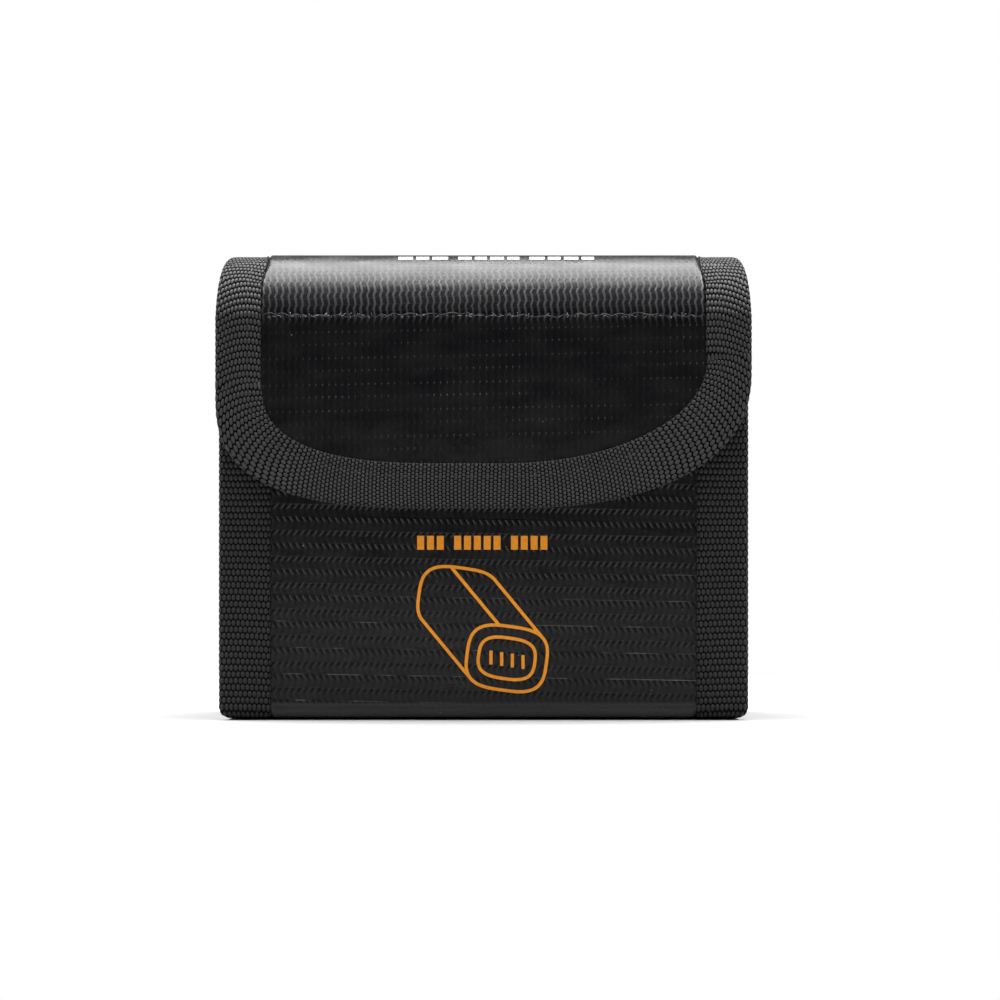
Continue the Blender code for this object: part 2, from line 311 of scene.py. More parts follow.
def cloth(name, first, last, half, height, material, inward=False):
    """A stretch of the strip from first to last, as wide as half says. Last may be a function of x."""
    columns = round(2 * BODY_HALF / CLOTH_STEP)
    share = np.linspace(-1, 1, columns)[None, :]
    ends = last(share[0] * (FLAP_HALF - EDGE_INSET)) if callable(last) else np.full(columns, last)
    rows = round((ends.max() - first) / CLOTH_STEP)
    s = first + np.linspace(0, 1, rows)[:, None] * (ends[None, :] - first)
    x = share * half(s)
    points = on_strip(x, s, height)
    return grid_piece(name, points, np.stack([x, s], axis=-1) / MM, material, flip=not inward)


# ---------------------------------------------------------------- lines and tapes


def along_line(line):
    """The distance of each point of a line along it."""
    return np.concatenate([[0], np.cumsum(np.linalg.norm(np.diff(line, axis=0), axis=1))])


def headings(line):
    """The unit direction of a line at each of its points."""
    slope = np.gradient(line, axis=0)
    return slope / np.linalg.norm(slope, axis=1, keepdims=True)


def evenly(line, step):
    """A line sampled again at even steps, with the distance along it."""
    run = along_line(line)
    even = np.linspace(0, run[-1], round(run[-1] / step) + 1)
    return np.stack([np.interp(even, run, line[:, k]) for k in (0, 1)], axis=1), even


def rounded_line(corners, radii, step):
    """Even points along a line with rounded corners, the line's normals there, and the distance along it."""
    corners = [np.array(corner, float) for corner in corners]
    dense = [corners[0]]
    for before, corner, after, radius in zip(corners, corners[1:], corners[2:], radii):
        into = (corner - before) / np.linalg.norm(corner - before)
        out = (after - corner) / np.linalg.norm(after - corner)
        begin, end = corner - into * radius, corner + out * radius
        for t in np.linspace(0, 1, 9):
            dense.append((1 - t) ** 2 * begin + 2 * t * (1 - t) * corner + t**2 * end)
    line, w = evenly(np.array(dense + [corners[-1]]), step)
    heading = headings(line)
    return line, np.stack([heading[:, 1], -heading[:, 0]], axis=1), w


def ribs(run, w):
    """Height, from 0 to 1, of a tape's ribs: rows of woven beads, each row staggered on the next."""
    row = run / RIB_PITCH
    number = np.floor(row)
    over = (row - number - 0.5) * 2
    bead = w / BEAD_PITCH + 0.5 * np.mod(number, 2)
    along = (bead - np.floor(bead) - 0.5) * 2
    return np.sqrt(np.clip(1 - over**2 - along**2, 0, 1))


def tape(name, place, edge, inward, widths, inner, stack, run, material, flip=False, waver=0.0, lean=0.0):
    """A binding tape folded over an edge.

    Edge and inward are the bound edge's points in the flat pattern and the directions into the cloth, widths
    the outer leg's width at each, inner the inner leg's, stack how deep the inner leg lies, and run the
    distance along it. Waver bends the ribs, and lean bows them, where the tape was eased round a curve.
    """
    width = float(np.max(widths))
    corners = [
        (width, 0.0),
        (width, TAPE_SKIN),
        (0.0, TAPE_SKIN),
        (0.0, -stack),
        (inner, -stack),
        (inner, -stack + LEG_THICKNESS),
    ]
    radii = [0.35 * MM, 1.1 * MM, 1.1 * MM, 0.3 * MM]
    section, normal, w = rounded_line(corners, radii, TAPE_STEP)

    # Where each point is in the weave
    swing = waver * np.sin(run / (17 * MM))[:, None] * np.sin(w / (6 * MM))[None, :]
    bow = 0.5 * width * (1 - ((w - 0.3 * width) / (0.7 * width)) ** 2)
    slant = np.broadcast_to(lean, run.shape)[:, None] * np.where(w < width, bow, 0.0)[None, :]
    woven = run[:, None] + swing + slant

    # The ribs stand up from the section, and the stitches dent them
    scale = (widths / width)[:, None]
    stitched = np.exp(-(((w[None, :] - STITCH_INSET) / (0.5 * MM)) ** 2))
    dent = stitched * (0.55 + 0.45 * np.cos(2 * np.pi * run[:, None] / STITCH_PITCH))
    rise = RIB_HEIGHT * ribs(woven, w[None, :]) - STITCH_DENT * dent
    a = section[None, :, 0] * scale + rise * normal[None, :, 0]
    h = section[None, :, 1] + rise * normal[None, :, 1]
    u = edge[:, None, 0] + inward[:, None, 0] * a
    v = edge[:, None, 1] + inward[:, None, 1] * a
    flat = np.stack(np.broadcast_arrays(w[None, :], woven), axis=-1) / MM
    return grid_piece(name, place(u, v, h), flat, material, flip)


def strand(place, line, height, radius, sides=6):
    """A thin round strand laid along a line of the flat pattern. Its height and radius may vary along it."""
    heading = headings(line)
    around = np.linspace(0, 2 * np.pi, sides + 1)
    radius = np.broadcast_to(radius, len(line))[:, None]
    aside = radius * np.cos(around)
    up = np.broadcast_to(height, len(line))[:, None] + radius * np.sin(around)
    return place(line[:, :1] - heading[:, 1:] * aside, line[:, 1:] + heading[:, :1] * aside, up)


def stitches(name, place, line):
    """A row of stitches on a tape, along a line of the pattern: short threads that dive in at both ends."""
    run = along_line(line)
    along = np.linspace(-1, 1, 7)
    thick = 0.13 * MM * np.sqrt(np.clip(1 - along**4, 0.01, 1))
    arch = STITCH_HEIGHT - 0.30 * MM * along**4
    grids = []
    for middle in np.arange(STITCH_PITCH / 2, run[-1] - STITCH_PITCH / 2, STITCH_PITCH):
        t = middle + along * 0.36 * STITCH_PITCH
        stitch = np.stack([np.interp(t, run, line[:, k]) for k in (0, 1)], axis=1)
        grids.append(strand(place, stitch, arch, thick))
    return joined_grids(name, grids, BLACK_THREAD)


# ---------------------------------------------------------------- materials


class Nodes:
    """Short names for building a material's nodes."""

    def __init__(self, name):
        self.material = bpy.data.materials.new(name)
        self.material.use_nodes = True
        self.tree = self.material.node_tree
        self.shader = self.tree.nodes["Principled BSDF"]

    def plug(self, socket, value):
        """Link an output to the socket, or set the socket to a plain value."""
        if isinstance(value, bpy.types.NodeSocket):
            self.tree.links.new(value, socket)
        else:
            socket.default_value = value

    def math(self, operation, a, b=0.0, c=0.0):
        """A math node's result, from outputs or numbers."""
        node = self.tree.nodes.new("ShaderNodeMath")
        node.operation = operation
        for socket, value in zip(node.inputs, (a, b, c)):
            self.plug(socket, value)
        return node.outputs[0]

    def weave(self):
        """The point's place in the weave, in millimetres: across, and along."""
        attribute = self.tree.nodes.new("ShaderNodeAttribute")
        attribute.attribute_name = "weave"
        split = self.tree.nodes.new("ShaderNodeSeparateXYZ")
        self.tree.links.new(attribute.outputs["Vector"], split.inputs[0])
        return split.outputs["X"], split.outputs["Y"], attribute.outputs["Vector"]

    def noise(self, vector, scale, detail=3.0, stretch=(1, 1, 1)):
        """Uneven noise from 0 to 1, finer where the scale or the stretch is larger."""
        mapping = self.tree.nodes.new("ShaderNodeMapping")
        mapping.inputs["Scale"].default_value = stretch
        self.tree.links.new(vector, mapping.inputs["Vector"])
        node = self.tree.nodes.new("ShaderNodeTexNoise")
        node.inputs["Scale"].default_value = scale
        node.inputs["Detail"].default_value = detail
        self.tree.links.new(mapping.outputs[0], node.inputs["Vector"])
        return node.outputs["Fac"]

    def between(self, value, low, high, out_low=0.0, out_high=1.0):
        """A smooth step from out_low where the value is low to out_high where it is high."""
        node = self.tree.nodes.new("ShaderNodeMapRange")
        node.interpolation_type = "SMOOTHSTEP"
        for socket, number in zip(node.inputs[:5], (value, low, high, out_low, out_high)):
            self.plug(socket, number)
        return node.outputs[0]

    def mix(self, factor, first, second):
        """A colour between two, first where the factor is 0 and second where it is 1."""
        node = self.tree.nodes.new("ShaderNodeMix")
        node.data_type = "RGBA"
        self.plug(node.inputs[0], factor)
        self.plug(node.inputs[6], first)
        self.plug(node.inputs[7], second)
        return node.outputs[2]

    def mix_value(self, factor, first, second):
        """A number between two, as mix does for colours."""
        node = self.tree.nodes.new("ShaderNodeMix")
        self.plug(node.inputs[0], factor)
        self.plug(node.inputs[2], first)
        self.plug(node.inputs[3], second)
        return node.outputs[0]

    def bump(self, height):
        """Shade the surface as if it stood up by the height, in millimetres."""
        node = self.tree.nodes.new("ShaderNodeBump")
        node.inputs["Strength"].default_value = 1.0
        node.inputs["Distance"].default_value = MM
        self.plug(node.inputs["Height"], height)
        self.tree.links.new(node.outputs[0], self.shader.inputs["Normal"])

    def object_place(self):
        """The point's place in the piece, in metres."""
        return self.tree.nodes.new("ShaderNodeTexCoord").outputs["Object"]


def yarns(n, across, along, tilt, even_bend, odd_bend):
    """The glass yarns at a point: its row, how far down the row it is, whether the row is odd, and how near
    it is to a yarn's back, up to 0.5. Tilt slopes the rows, and each yarn bends aside and back in every row,
    furthest where it is 0.36 of the way down.
    """
    row = n.math("DIVIDE", n.math("MULTIPLY_ADD", across, tilt, along), ROW_PITCH)
    part = n.math("FRACT", row)
    odd = n.math("FLOORED_MODULO", n.math("FLOOR", row), 2.0)
    rising = n.math("DIVIDE", part, 0.36)
    falling = n.math("DIVIDE", n.math("SUBTRACT", 1.0, part), 0.64)
    bend = n.math("MULTIPLY_ADD", odd, odd_bend - even_bend, even_bend)
    shift = n.math("MULTIPLY", n.math("MINIMUM", rising, falling), bend)
    nearness = n.math("PINGPONG", n.math("ADD", n.math("DIVIDE", across, YARN_PITCH), shift), 0.5)
    return row, part, odd, nearness


def base_panel(n, along, inside, outside):
    """One value on the base and the walls' lowest few millimetres, where the cloth is pressed, or another.
    The coated cloth also uses it to paint that band a lighter black, as a painted reflection of the floor.
    """
    from_middle = n.math("ABSOLUTE", n.math("SUBTRACT", along, S_BASE / MM))
    reach = (S_BASE - s_of_front(3.4 * MM)) / MM
    return n.between(from_middle, reach - 0.4, reach + 0.4, inside, outside)


def wall_pattern(n, across, along, place):
    """The yarns on the walls: how far they stand up, from 0 to 1, and how hollow the cloth is between them.

    They show as short slanting ticks that hang from every second row's line, with faint yarns between.
    """
    row, part, odd, nearness = yarns(n, across, along, -0.017, -0.36, 0.44)
    tick = n.math("MULTIPLY", n.between(nearness, 0.22, 0.5), n.between(part, 0.02, 0.45, 1.0, 0.10))
    ticks = n.math("MULTIPLY", tick, n.math("MULTIPLY_ADD", odd, 0.35, 0.65))
    uneven = n.between(n.noise(place, 0.35, 2.0, (0.3, 1, 1)), 0.4, 0.6, 0.25, 1.0)
    crossing = n.math("PINGPONG", n.math("ADD", row, 0.5), 0.5)
    line = n.math("MULTIPLY", n.between(crossing, 0.41, 0.5), uneven)
    gap = n.between(nearness, 0.05, 0.2, 1.0, 0.0)
    hollow = n.math("MULTIPLY", gap, n.between(part, 0.1, 0.6, 0.8, 0.15))
    pressed = base_panel(n, along, 0.15, 1.0)
    standing = n.math("MULTIPLY_ADD", n.math("MULTIPLY", line, odd), 0.55, ticks)
    return n.math("MULTIPLY", standing, pressed), n.math("MULTIPLY", hollow, pressed)


def flap_pattern(n, across, along, place):
    """The yarns on the flap, as on the walls: thin zigzags over the roll, and rows of dots down the drop."""
    row, _, odd, nearness = yarns(n, across, along, 0.020, 0.24, 0.24)
    crease = S_CREASE / MM

    # Over the roll, zigzags with gaps between them
    pull = n.noise(place, 0.9, 2.0, (1, 0.12, 1))
    zigzag = n.between(n.math("MULTIPLY_ADD", pull, 0.22, n.math("SUBTRACT", nearness, 0.11)), 0.24, 0.40)
    standing = n.math("MULTIPLY", zigzag, n.between(along, crease - 12, crease - 5, 0.2, 1.0))
    crossing = n.between(n.math("PINGPONG", n.math("MULTIPLY", row, 2.0), 0.5), 0.0, 0.16, 0.35, 1.0)
    opening = n.math("MULTIPLY", n.between(along, crease - 7.5, crease - 5.5, 0.0, 0.60), crossing)
    wide_gaps = n.math("MULTIPLY", n.math("SUBTRACT", 1.0, zigzag), opening)

    # Pin holes among them, and rows of dots down the drop
    level = n.between(n.math("PINGPONG", n.math("MULTIPLY", row, 2.5), 0.5), 0.0, 0.2, 1.0, 0.0)
    pin_holes = n.math("MULTIPLY", n.between(nearness, 0.12, 0.3, 0.4, 0.0), level)
    on_row = n.between(n.math("PINGPONG", row, 0.5), 0.0, 0.11, 1.0, 0.0)
    rows = n.math("MULTIPLY", on_row, n.math("MULTIPLY_ADD", odd, 0.45, 0.2))
    uneven = n.between(n.noise(place, 0.08, 3.0), 0.38, 0.62, 0.3, 1.0)
    dots = n.math("MULTIPLY", n.math("MULTIPLY", n.between(nearness, 0.34, 0.46), rows), uneven)
    drop = n.math("MULTIPLY_ADD", n.between(nearness, 0.25, 0.5), 0.10, dots)
    past_crease = n.between(along, crease - 0.3, crease + 2.5)
    hollow = n.math("MAXIMUM", wide_gaps, pin_holes)
    return n.mix_value(past_crease, standing, drop), n.mix_value(past_crease, hollow, 0.0)


def coated_cloth(name, pattern, relief):
    """Black coating, glossy, over glass yarns that rise by the relief, in millimetres. The yarns' crests are
    painted a lighter grey as a painted highlight, and the base's band a lighter black as a painted reflection
    of the floor.
    """
    n = Nodes(name)
    across, along, place = n.weave()
    raised, hollow = pattern(n, across, along, place)
    patches = n.between(n.noise(place, 0.05, 3.0), 0.35, 0.65, 0.65, 1.1)
    standing = n.math("MULTIPLY", raised, n.math("MULTIPLY", patches, relief))
    grain = n.math("MULTIPLY", n.noise(place, 1.7, 4.0), 0.035)
    orange_peel = n.math("MULTIPLY", n.noise(place, 0.35, 3.0), 0.10)
    n.bump(n.math("ADD", standing, n.math("ADD", grain, orange_peel)))
    specks = n.between(n.noise(place, 1.15, 1.0), 0.81, 0.83)
    # Painted highlight: the yarns' crests, where they stand up, are painted a lighter grey.
    crest_highlight = n.math("MULTIPLY", raised, patches)
    # Painted reflection: the base's band is painted a lighter black for the floor that it reflects.
    black, floor_reflection_black = (0.0026, 0.0026, 0.0036, 1), (0.026, 0.026, 0.028, 1)
    crest_highlight_grey, dust = (0.038, 0.038, 0.041, 1), (0.30, 0.30, 0.29, 1)
    plain = n.mix(base_panel(n, along, 1.0, 0.0), black, floor_reflection_black)
    n.plug(n.shader.inputs["Base Color"], n.mix(specks, n.mix(crest_highlight, plain, crest_highlight_grey), dust))
    smears = n.noise(place, 0.11, 4.0, (1, 2.2, 1))
    n.plug(n.shader.inputs["Roughness"], n.between(smears, 0.25, 0.75, 0.27, 0.42))
    n.plug(n.shader.inputs["Specular IOR Level"], n.math("MULTIPLY_ADD", hollow, -0.30, 0.32))
    return n.material


def beads(n, across, run):
    """Height, from 0 to 1, of the tape's beads, each row staggered on the next, and of a cord at its edge."""
    row = n.math("DIVIDE", run, RIB_PITCH / MM)
    odd = n.math("FLOORED_MODULO", n.math("FLOOR", row), 2.0)
    bead = n.math("MULTIPLY_ADD", odd, 0.5, n.math("DIVIDE", across, BEAD_PITCH / MM))
    over = n.math("MULTIPLY_ADD", n.math("PINGPONG", row, 0.5), -2.0, 1.0)
    beside = n.math("MULTIPLY_ADD", n.math("PINGPONG", bead, 0.5), -2.0, 1.0)
    squares = n.math("MULTIPLY_ADD", over, over, n.math("MULTIPLY", beside, beside))
    ball = n.math("SQRT", n.math("MAXIMUM", n.math("SUBTRACT", 1.0, squares), 0.0))
    from_cord = n.math("MULTIPLY_ADD", across, 4.2, -0.9)
    below = n.math("MULTIPLY", from_cord, -1.0)
    cord = n.math("SQRT", n.math("MAXIMUM", n.math("MULTIPLY_ADD", from_cord, below, 1.0), 0.0))
    return n.math("MAXIMUM", n.math("MULTIPLY", ball, n.between(across, 0.45, 0.65)), cord)


def binding_tape(name, tone, gap):
    """Woven nylon: beads as bright as tone, with painted shade in the gaps between them, which are that share
    of it.
    """
    n = Nodes(name)
    across, run, place = n.weave()
    height = beads(n, across, run)
    threads = n.noise(place, 3.2, 3.0, (0.8, 2.4, 1))
    # Painted shade: the colour darkens from the beads' tops down into the gaps between them and beside the
    # cord.
    shade = n.math("MULTIPLY", n.between(height, 0.05, 0.85), n.between(threads, 0.25, 0.75, 0.6, 1.15))
    fade = n.noise(place, 0.08, 2.0)
    faded = (1.15 * tone, 1.13 * tone, 1.13 * tone, 1)
    unfaded = (0.8 * tone, 0.79 * tone, 0.79 * tone, 1)
    dark = (gap * tone, gap * tone, 1.1 * gap * tone, 1)
    n.plug(n.shader.inputs["Base Color"], n.mix(shade, dark, n.mix(fade, unfaded, faded)))
    n.plug(n.shader.inputs["Roughness"], n.between(threads, 0.3, 0.7, 0.50, 0.68))
    n.plug(n.shader.inputs["Specular IOR Level"], n.math("MULTIPLY", shade, 0.30))
    n.bump(n.math("MULTIPLY_ADD", threads, 0.05, n.math("MULTIPLY", height, 0.25)))
    return n.material


def glass_lining(name):
    """Pale plain-woven glass cloth, painted darker where its yarns dip, as shade."""
    n = Nodes(name)
    across, along, place = n.weave()
    warp = n.math("DIVIDE", across, LINING_PITCH)
    weft = n.math("DIVIDE", along, LINING_PITCH)
    odd = n.math("FLOORED_MODULO", n.math("ADD", n.math("FLOOR", warp), n.math("FLOOR", weft)), 2.0)
    warp_height = n.math("MULTIPLY", n.math("PINGPONG", warp, 0.5), n.math("SUBTRACT", 1.5, odd))
    weft_height = n.math("MULTIPLY", n.math("PINGPONG", weft, 0.5), n.math("ADD", odd, 0.5))
    over = n.math("ADD", warp_height, weft_height)
    fuzz = n.noise(place, 2.6, 4.0)
    n.bump(n.math("ADD", n.math("MULTIPLY", over, 0.10), n.math("MULTIPLY", fuzz, 0.05)))
    stain = n.between(n.noise(place, 0.06, 3.0), 0.3, 0.7)
    pale = n.mix(stain, (0.21, 0.21, 0.195, 1), (0.25, 0.248, 0.23, 1))
    # Painted shade: the colour darkens where the yarns dip under each other.
    hollow = (0.11, 0.11, 0.103, 1)
    n.plug(n.shader.inputs["Base Color"], n.mix(n.between(over, 0.1, 0.9), hollow, pale))
    n.plug(n.shader.inputs["Roughness"], n.between(fuzz, 0.3, 0.7, 0.6, 0.8))
    return n.material


def fastener(name, fuzz):
    """Hook tape, or loop tape where it is fuzzy. The tangle's deep parts are painted darker, as shade."""
    n = Nodes(name)
    _, _, place = n.weave()
    tangle = n.noise(place, 2.4, 5.0)
    n.bump(n.math("MULTIPLY", tangle, 0.25 if fuzz else 0.05))
    # Painted shade: the tangle's low parts get the deep, darker colour.
    deep, raised = (0.004, 0.004, 0.004, 1), (0.022, 0.022, 0.023, 1)
    n.plug(n.shader.inputs["Base Color"], n.mix(tangle, deep, raised))
    n.shader.inputs["Roughness"].default_value = 0.85 if fuzz else 0.45
    n.shader.inputs["Sheen Weight"].default_value = 0.3 if fuzz else 0.0
    return n.material


def thread(name, colour, roughness=0.6):
    """Twisted thread, painted darker between its plies as shade."""
    n = Nodes(name)
    twist = n.noise(n.object_place(), 2600, 2.0, (1, 1, 2))
    # Painted shade between the plies.
    dark = (*[0.55 * c for c in colour], 1)
    n.plug(n.shader.inputs["Base Color"], n.mix(twist, dark, (*colour, 1)))
    n.shader.inputs["Roughness"].default_value = roughness
    return n.material


def print_ink(name, colour):
    """Screen-printed ink that takes up the grain of the cloth under it."""
    n = Nodes(name)
    grain = n.noise(n.object_place(), 1500, 3.0)
    n.bump(n.math("MULTIPLY", grain, 0.03))
    thin = tuple(0.88 * c for c in colour)
    n.plug(n.shader.inputs["Base Color"], n.mix(n.between(grain, 0.35, 0.65), (*thin, 1), (*colour, 1)))
    n.shader.inputs["Roughness"].default_value = 0.6
    n.shader.inputs["Specular IOR Level"].default_value = 0.2
    return n.material


COATED = coated_cloth("coated_cloth", wall_pattern, 0.34)
COATED_FLAP = coated_cloth("coated_cloth_flap", flap_pattern, 0.20)
TAPE = binding_tape("binding_tape", 0.028, 0.2)
# The flap's and the back's tape is twice as bright, with deeper painted shade between its beads.
BRIGHT_TAPE = binding_tape("binding_tape_flap", 0.056, 0.05)
GLASS = glass_lining("glass_lining")
HOOKS = fastener("hook_tape", fuzz=False)
LOOPS = fastener("loop_tape", fuzz=True)
BLACK_THREAD = thread("black_thread", (0.012, 0.012, 0.013))
CREASE_THREAD = thread("crease_thread", (0.06, 0.06, 0.063), 0.5)
GLASS_FIBRE = thread("glass_fibre", (0.30, 0.30, 0.30), 0.4)
ORANGE_INK = print_ink("orange_ink", (0.96, 0.345, 0.024))
WHITE_INK = print_ink("white_ink", (0.62, 0.62, 0.62))


# ---------------------------------------------------------------- how the pieces move


def over_back(piece, slot, *nodes):
    """The piece, which lies over the back fold with the pouch below and the top of the flap above, stays
    fixed in the world, and the frame's parts that it stands for are hidden.
    """
    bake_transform(piece)
    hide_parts(*nodes)
    return piece


def over_front(piece, slot, *nodes):
    """The piece, which lies over the front fold with the top of the flap behind and its drop in front, stays
    fixed in the world, and the frame's parts that it stands for are hidden.
    """
    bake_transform(piece)
    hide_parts(*nodes)
    return piece


def on_pouch(piece, slot, *nodes):
    """The piece stays with the pouch."""
    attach(piece, "pouch")
    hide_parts(*nodes)
    return piece


def on_flap_front(piece, slot, *nodes):
    """The piece stays with the flap's drop."""
    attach(piece, "flap_front")
    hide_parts(*nodes)
    return piece


# ---------------------------------------------------------------- the cloth


def inset_half(s):
    """Half the cloth's width, which ends inside the tapes."""
    return half_width(s) - EDGE_INSET


def inner_half(s):
    """Half the lining's width: between the gussets, and out under the tapes where it rises above them."""
    between_gussets = GUSSET_X - 0.9 * MM
    under_tapes = np.minimum(inset_half(s), 50.5 * MM)
    above_mouth = np.clip((s - S_BACK_MOUTH - 1.5 * MM) / MM, 0, 1)
    return between_gussets + above_mouth * (under_tapes - between_gussets)


def flap_end(x):
    """How far along the strip the flap's cloth goes at x: to the bound edge, less its inset in the tape."""
    _, _, centre_z, deep, _ = FLAP_EDGE[-1][BOUND]
    z = np.full_like(x, centre_z - deep)
    for side in (-1, 1):
        centre_x, long, centre_z, deep, power = FLAP_EDGE[side][BOUND]
        along = side * (x / MM - centre_x) / long
        z = np.where(along > 0, centre_z - deep * (1 - np.clip(along, 0, 1) ** power) ** (1 / power), z)
    return s_of_flap(z * MM + EDGE_INSET)


S_FLAP_END = float(flap_end(np.zeros(1))[0])


def make_cloth():
    """The coated cloth and its lining, each in three pieces that meet under the base and on the top."""
    front = cloth("front_cloth", 0, S_BASE, inset_half, 0.0, COATED)
    back = cloth("back_cloth", S_BASE, S_TOP, inset_half, 0.0, COATED)
    flap = cloth("flap_cloth", S_TOP, flap_end, inset_half, 0.0, COATED_FLAP)
    on_pouch(front, "coated_cloth", "shell_wrap")
    over_back(back, "coated_cloth")
    over_front(flap, "coated_cloth", "flap_top_cloth", "flap_front_cloth")
    front_lining = cloth("front_lining", 0, S_BASE, inner_half, LINING_HEIGHT, GLASS, inward=True)
    back_lining = cloth("back_lining", S_BASE, S_TOP, inner_half, LINING_HEIGHT, GLASS, inward=True)
    flap_lining = cloth("flap_lining", S_TOP, flap_end, inset_half, LINING_HEIGHT, GLASS, inward=True)
    on_pouch(front_lining, "lining", "lining_wrap")
    over_back(back_lining, "lining")
    over_front(flap_lining, "lining", "flap_top_lining", "flap_front_lining")


def on_gusset(side):
    """Lays (y, z, height) on the gusset at that side, which is drawn in at its middle. Height is outward."""

    def place(y, z, height):
        middle = (FRONT_Y + BACK_Y) / 2
        fold = np.cos(np.clip((y - middle) / (24 * MM), -1, 1) * np.pi / 2) ** 2
        up = np.sin(np.pi * np.clip(z / (MOUTH_Z * 1.35), 0, 1))
        ripple = np.sin(z / (7 * MM) + y / (11 * MM))
        drawn = (GUSSET_FOLD * fold + GUSSET_RIPPLE * ripple) * up
        x = side * (GUSSET_X - drawn + height)
        return np.stack(np.broadcast_arrays(x, y, z), axis=-1)

    return place


def gusset_panel(name, place, rim, height, material, flip):
    """A gusset panel that keeps a rim clear of the walls. Height gives how it rises near its border."""
    low_z = BASE_Z + GUSSET_RIM
    across = np.arange(FRONT_Y + rim, BACK_Y - rim, CLOTH_STEP)
    y, z = np.meshgrid(across, np.arange(low_z, MOUTH_Z, CLOTH_STEP))
    border = np.minimum(np.minimum(y - y.min(), y.max() - y), z - low_z)
    flat = np.stack([y, z], axis=-1) / MM
    return grid_piece(name, place(y, z, height(border)), flat, material, flip)


def turned_out(border):
    """The rise of a gusset's seam allowance, where it turns out along the walls."""
    return 4.5 * MM * np.clip(1 - border / GUSSET_RIM, 0, 1) ** 2


def inside_face(border):
    """The lining lies level behind the gusset's cloth."""
    return np.full_like(border, -1.6 * MM)


def make_gusset(side, word):
    """One gusset: its cloth, its lining and the tape over its mouth."""
    place = on_gusset(side)
    panel = gusset_panel(f"gusset_cloth_{word}", place, GUSSET_RIM, turned_out, COATED, flip=side < 0)
    on_pouch(panel, "coated_cloth", f"gusset_{word}")
    lining_rim = GUSSET_RIM + 0.2 * MM
    lining = gusset_panel(f"gusset_inside_{word}", place, lining_rim, inside_face, GLASS, flip=side > 0)
    on_pouch(lining, "lining", f"gusset_lining_{word}")
    end = GUSSET_RIM + 1.5 * MM
    run = np.arange(FRONT_Y + end, BACK_Y - end, TAPE_STEP)
    edge = np.stack([run, np.full_like(run, MOUTH_Z + TAPE_RISE)], axis=1)
    hem = hem_tape(f"gusset_hem_tape_{word}", place, edge, (0.0, -1.0), run, flip=side < 0)
    on_pouch(hem, "binding_tape", f"gusset_hem_{word}")


# ---------------------------------------------------------------- the binding tapes


def side_tape(name, side, first, last, material):
    """The tape along one side edge of the strip, from one distance along it to another."""
    s = np.append(np.arange(first, last, TAPE_STEP), last)
    half = half_width(s)
    edge = np.stack([side * half, s], axis=1)
    inward = np.tile([-float(side), 0.0], (len(s), 1))
    widths = BODY_TAPE - (BODY_HALF - half) * (1 + TAPE_NARROWING)
    return tape(
        name, on_strip, edge, inward, widths, BODY_TAPE_INNER, BODY_STACK, s - S_TOP, material,
        flip=side > 0, waver=0.35 * MM,
    )


def superellipse(side, which, turn):
    """Points (x, z) on one side of the flap's lower edge. Turn is 0 at its side and a right angle below."""
    centre_x, long, centre_z, deep, power = FLAP_EDGE[side][which]
    across = np.cos(turn) ** (2 / power)
    down = np.sin(turn) ** (2 / power)
    return np.stack([centre_x + side * long * across, centre_z - deep * down], axis=1) * MM


def flap_line(which):
    """The flap's bound edge, or its tape's inner one, from the left of the top round to its right."""
    sides = []
    for side in (-1, 1):
        curve = superellipse(side, which, np.linspace(0, np.pi / 2, 400))
        s = np.linspace(S_TOP, s_of_flap(curve[0, 1]) - 0.2 * MM, 200)
        half = half_width(s) if which == BOUND else np.interp(s, S_TAPE_LINE, TAPE_LINE)
        upright = np.stack([side * half, s], axis=1)
        curve[:, 1] = s_of_flap(curve[:, 1])
        sides.append(np.concatenate([upright, curve]))
    return np.concatenate([sides[0], sides[1][::-1]])


def nearest_on(line, points):
    """The nearest place on a line to each point."""
    start, step = line[:-1], np.diff(line, axis=0)
    offset = points[:, None] - start[None]
    share = np.clip((offset * step).sum(axis=2) / np.maximum((step**2).sum(axis=1), 1e-12), 0, 1)
    places = start[None] + share[..., None] * step[None]
    best = np.argmin(np.linalg.norm(points[:, None] - places, axis=2), axis=1)
    return places[np.arange(len(points)), best]


def flap_tape():
    """The tape round the flap's edge, and the line of its stitches."""
    edge, run = evenly(flap_line(BOUND), FLAP_TAPE_STEP)
    lip = nearest_on(evenly(flap_line(INNER), 0.4 * MM)[0], edge)
    inward = lip - edge
    widths = np.linalg.norm(inward, axis=1)
    inward /= widths[:, None]
    from_end = np.minimum(run, run[-1] - run)

    # The ribs sit closer along the bottom, and a whole number of pairs fits between the ends
    steps = np.diff(along_line((edge + lip) / 2), prepend=0)
    along_bottom = np.clip((from_end - 75 * MM) / (12 * MM), 0, 1)
    ribs_run = np.cumsum(steps * (1 + 0.65 * along_bottom))
    pair = 2 * RIB_PITCH
    ribs_run *= round(ribs_run[-1] / pair) * pair / ribs_run[-1]

    # They bow down on both drops, the most near the ends
    lean = 0.42 * np.cos(np.pi * run / run[-1]) * np.clip((from_end - 12 * MM) / (14 * MM), 0, 1)
    piece = tape(
        "flap_tape", on_strip, edge, inward, widths, FLAP_TAPE_INNER, FLAP_STACK, ribs_run,
        BRIGHT_TAPE, waver=0.45 * MM, lean=lean,
    )
    return piece, edge + inward * (widths - STITCH_INSET)[:, None]


def hem_tape(name, place, edge, inward, run, flip):
    """The tape that binds one side of the mouth."""
    widths = np.full(len(run), HEM_TAPE)
    into = np.tile(inward, (len(run), 1))
    return tape(name, place, edge, into, widths, HEM_TAPE, HEM_STACK, run, TAPE, flip)


